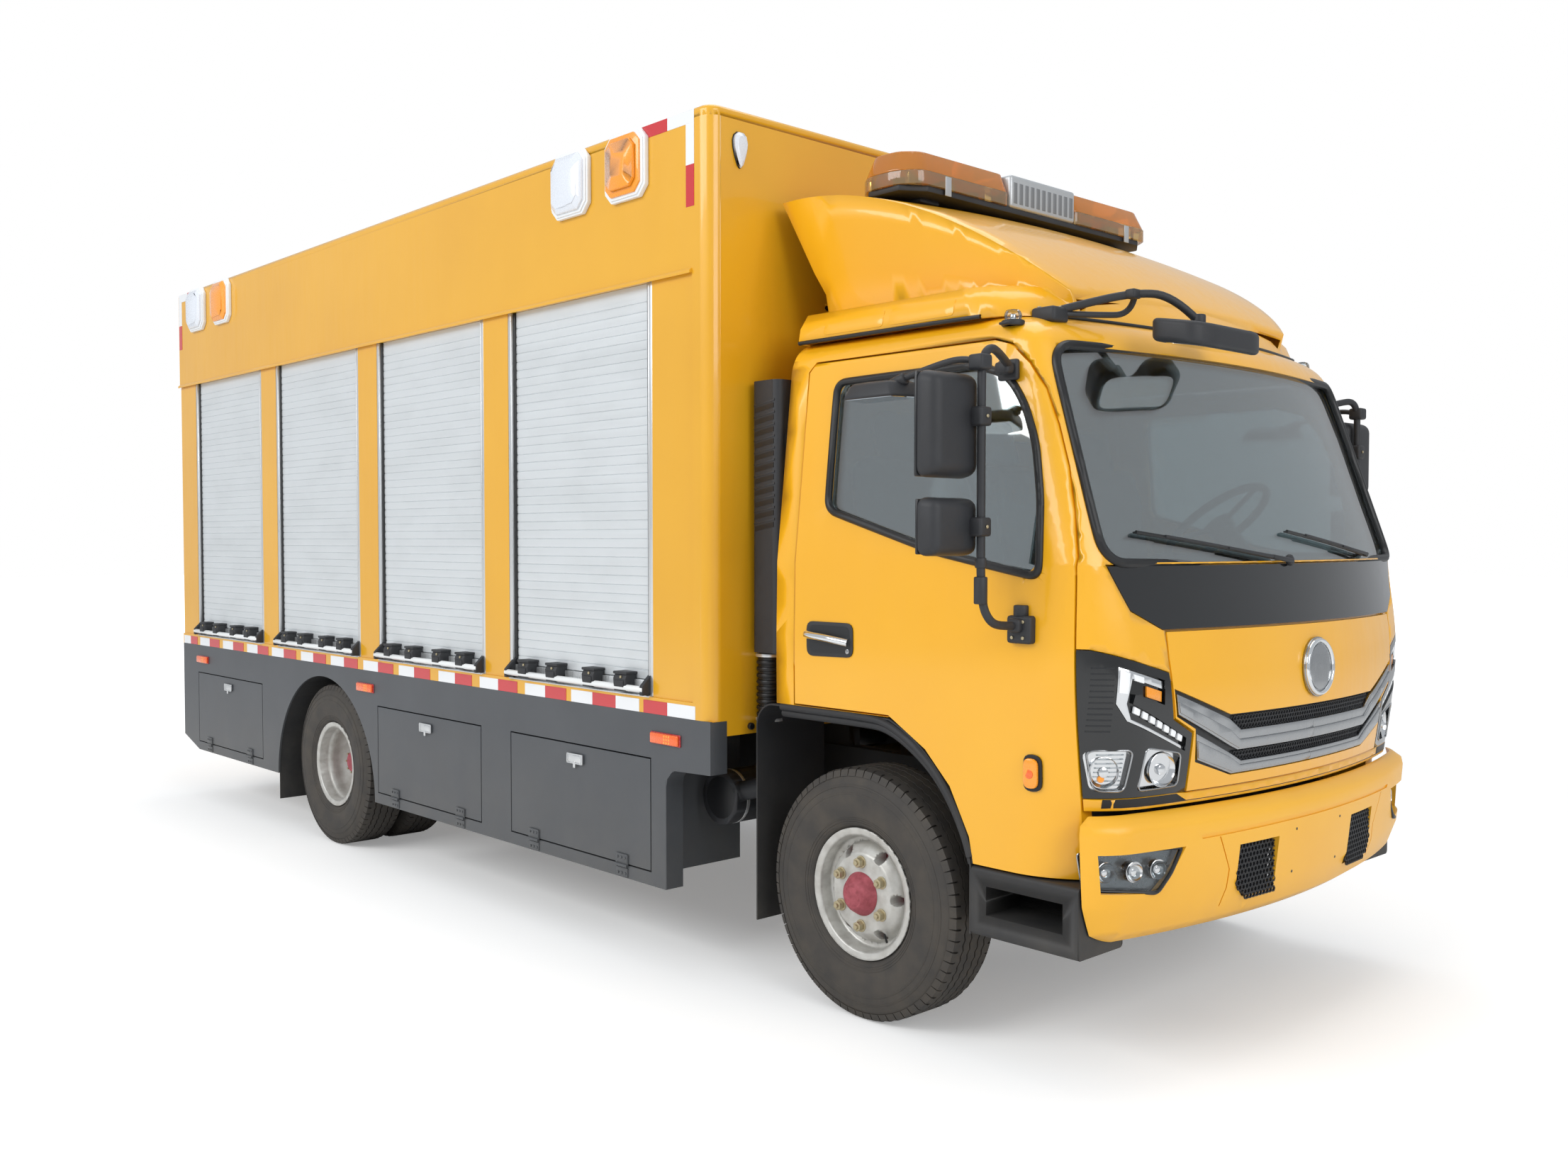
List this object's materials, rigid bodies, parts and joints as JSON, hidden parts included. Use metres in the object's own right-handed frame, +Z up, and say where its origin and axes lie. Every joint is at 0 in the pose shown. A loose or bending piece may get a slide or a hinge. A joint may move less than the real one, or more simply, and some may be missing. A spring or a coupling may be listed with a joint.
{
  "type": "rescue truck",
  "caption": "Yellow cab-over rescue truck with roller shutters along its equipment box, locked skirt lockers, roof light bar and twin rear wheels.",
  "frame": {"origin": "on the ground, under the middle of the truck's length and width", "axes": "+X forward along the truck, +Y to its left, +Z up"},
  "size_m": [7.04, 2.79, 3.1879],
  "materials": {
    "frame_black": "satin chassis paint",
    "wheel_silver": "silver wheel paint",
    "tyre_rubber": "worn tread",
    "engine_iron": "cast and oily",
    "plain_aluminium": "bare sheet",
    "box_yellow": "gloss body paint",
    "shutter_aluminium": "satin anodised slats",
    "skirt_grey": "satin grey paint",
    "lamp_lens": "clear and coloured lenses",
    "black_plastic": "grained black",
    "cab_yellow": "gloss body paint",
    "panel_black": "semi-gloss black",
    "window_glass": "lightly tinted",
    "seat_cloth": "woven cloth under its clear cover"
  },
  "bodies": {
    "truck": {"chassis_frame": "frame_black", "leaf_springs": "frame_black", "front_axle": "frame_black", "rear_axle": "frame_black", "radiator": "plain_aluminium", "power_train": "engine_iron", "fuel_tank": "plain_aluminium", "silencer": "plain_aluminium", "box_sides": "box_yellow", "box_floor": "box_yellow", "box_front_wall": "box_yellow", "box_roof": "box_yellow", "roller_shutters": "shutter_aluminium", "side_skirts": "skirt_grey", "lockers": "skirt_grey", "rear_bumper": "frame_black", "warning_lamps": "lamp_lens", "marker_and_tail_lamps": "lamp_lens", "mudguards": "black_plastic", "cab_steps": "black_plastic", "cab_glass": "window_glass", "cab_shell": "cab_yellow", "cowl_panel": "panel_black", "headlamps": "lamp_lens", "dashboard": "black_plastic", "driver_seat": "seat_cloth", "passenger_seat": "seat_cloth", "seat_bases": "black_plastic", "front_bumper": "cab_yellow", "roof_fairing": "cab_yellow", "light_bar": "lamp_lens", "front_mirror": "black_plastic", "air_intake": "black_plastic"},
    "knuckle_left": {"steering_knuckle_left": "frame_black"},
    "front_wheel_left": {"front_rim_left": "wheel_silver", "front_tyre_left": "tyre_rubber"},
    "rear_wheels_left": {"rear_rims_left": "wheel_silver", "rear_tyres_left": "tyre_rubber"},
    "cab_door_left_body": {"cab_door_left": "cab_yellow", "door_window_left": "window_glass", "mirror_left": "black_plastic"},
    "rear_door_left_body": {"rear_door_left": "box_yellow"},
    "rear_lid_left_body": {"rear_lid_left": "skirt_grey"},
    "middle_lid_left_body": {"middle_lid_left": "skirt_grey"},
    "front_lid_left_body": {"front_lid_left": "skirt_grey"},
    "knuckle_right": {"steering_knuckle_right": "frame_black"},
    "front_wheel_right": {"front_rim_right": "wheel_silver", "front_tyre_right": "tyre_rubber"},
    "rear_wheels_right": {"rear_rims_right": "wheel_silver", "rear_tyres_right": "tyre_rubber"},
    "cab_door_right_body": {"cab_door_right": "cab_yellow", "door_window_right": "window_glass", "mirror_right": "black_plastic"},
    "rear_door_right_body": {"rear_door_right": "box_yellow"},
    "rear_lid_right_body": {"rear_lid_right": "skirt_grey"},
    "middle_lid_right_body": {"middle_lid_right": "skirt_grey"},
    "front_lid_right_body": {"front_lid_right": "skirt_grey"},
    "steering_wheel_body": {"steering_wheel": "black_plastic"},
    "front_panel_body": {"front_panel": "cab_yellow"}
  },
  "joints": [
    {"name": "steer_left", "type": "hinge", "parent": "truck", "child": "knuckle_left", "pos_m": [2.395, 0.8, 0.4275], "axis": [0, 0, 1], "range_deg": [-35, 35]},
    {"name": "front_wheel_spin_left", "type": "hinge", "parent": "knuckle_left", "child": "front_wheel_left", "pos_m": [2.395, 0.915, 0.4275], "axis": [0, 1, 0], "continuous": true},
    {"name": "rear_wheel_spin_left", "type": "hinge", "parent": "truck", "child": "rear_wheels_left", "pos_m": [-1.405, 0.895, 0.4275], "axis": [0, 1, 0], "continuous": true},
    {"name": "cab_door_hinge_left", "type": "hinge", "parent": "truck", "child": "cab_door_left_body", "pos_m": [3.262, 1.006, 1.5], "axis": [0, 0, -1], "range_deg": [0, 70]},
    {"name": "rear_door_hinge_left", "type": "hinge", "parent": "truck", "child": "rear_door_left_body", "pos_m": [-3.5, 1.135, 2], "axis": [0, 0, -1], "range_deg": [0, 180]},
    {"name": "rear_lid_hinge_left", "type": "hinge", "parent": "truck", "child": "rear_lid_left_body", "pos_m": [-2.735, 1.182, 0.357], "axis": [-1, 0, 0], "range_deg": [0, 90]},
    {"name": "middle_lid_hinge_left", "type": "hinge", "parent": "truck", "child": "middle_lid_left_body", "pos_m": [-0.3, 1.182, 0.357], "axis": [-1, 0, 0], "range_deg": [0, 90]},
    {"name": "front_lid_hinge_left", "type": "hinge", "parent": "truck", "child": "front_lid_left_body", "pos_m": [0.947, 1.182, 0.357], "axis": [-1, 0, 0], "range_deg": [0, 90]},
    {"name": "steer_right", "type": "hinge", "parent": "truck", "child": "knuckle_right", "pos_m": [2.395, -0.8, 0.4275], "axis": [0, 0, 1], "range_deg": [-35, 35]},
    {"name": "front_wheel_spin_right", "type": "hinge", "parent": "knuckle_right", "child": "front_wheel_right", "pos_m": [2.395, -0.915, 0.4275], "axis": [0, 1, 0], "continuous": true},
    {"name": "rear_wheel_spin_right", "type": "hinge", "parent": "truck", "child": "rear_wheels_right", "pos_m": [-1.405, -0.895, 0.4275], "axis": [0, 1, 0], "continuous": true},
    {"name": "cab_door_hinge_right", "type": "hinge", "parent": "truck", "child": "cab_door_right_body", "pos_m": [3.262, -1.006, 1.5], "axis": [0, 0, 1], "range_deg": [0, 70]},
    {"name": "rear_door_hinge_right", "type": "hinge", "parent": "truck", "child": "rear_door_right_body", "pos_m": [-3.5, -1.135, 2], "axis": [0, 0, 1], "range_deg": [0, 180]},
    {"name": "rear_lid_hinge_right", "type": "hinge", "parent": "truck", "child": "rear_lid_right_body", "pos_m": [-2.735, -1.182, 0.357], "axis": [1, 0, 0], "range_deg": [0, 90]},
    {"name": "middle_lid_hinge_right", "type": "hinge", "parent": "truck", "child": "middle_lid_right_body", "pos_m": [-0.3, -1.182, 0.357], "axis": [1, 0, 0], "range_deg": [0, 90]},
    {"name": "front_lid_hinge_right", "type": "hinge", "parent": "truck", "child": "front_lid_right_body", "pos_m": [0.947, -1.182, 0.357], "axis": [1, 0, 0], "range_deg": [0, 90]},
    {"name": "steering_wheel_turn", "type": "hinge", "parent": "truck", "child": "steering_wheel_body", "pos_m": [2.86, 0.48, 1.69], "axis": [0.6428, 0, -0.766], "range_deg": [-630, 630]},
    {"name": "front_panel_hinge", "type": "hinge", "parent": "truck", "child": "front_panel_body", "pos_m": [3.488, 0, 1.37], "axis": [0, -1, 0], "range_deg": [0, 70]}
  ],
  "couplings": [
    {"joint": "steer_right", "follows": "steer_left", "ratio": 1},
    {"joint": "steering_wheel_turn", "follows": "steer_left", "ratio": -18}
  ]
}
